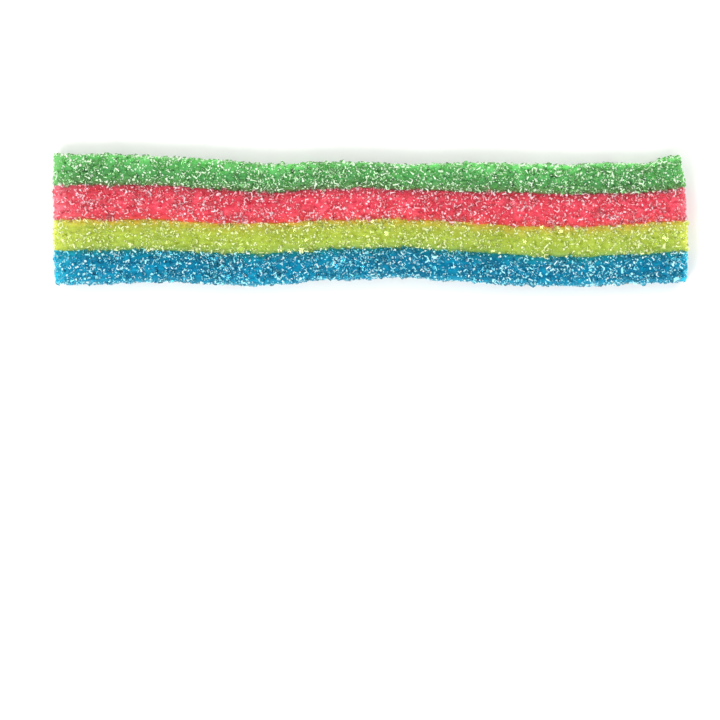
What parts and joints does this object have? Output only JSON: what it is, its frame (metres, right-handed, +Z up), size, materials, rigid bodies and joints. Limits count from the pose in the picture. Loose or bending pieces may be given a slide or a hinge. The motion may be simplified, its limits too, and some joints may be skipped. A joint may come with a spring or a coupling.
{
  "type": "sour gummy ribbon",
  "caption": "Flat ribbon of soft fruit gummy in bright lengthwise bands, cut at both ends and coated with coarse sour sugar.",
  "frame": {"origin": "centre of the ribbon's outline, on the surface that it lies on", "axes": "+X along the ribbon towards its slanted cut, +Y across it towards the green band, +Z up"},
  "size_m": [0.1093, 0.0233, 0.0042],
  "materials": {
    "green_gummy": "satin",
    "red_gummy": "satin",
    "yellow_gummy": "satin",
    "blue_gummy": "satin",
    "sugar": "gloss"
  },
  "bodies": {
    "root": {"green_band": "green_gummy", "red_band": "red_gummy", "yellow_band": "yellow_gummy", "blue_band": "blue_gummy"}
  },
  "joints": []
}
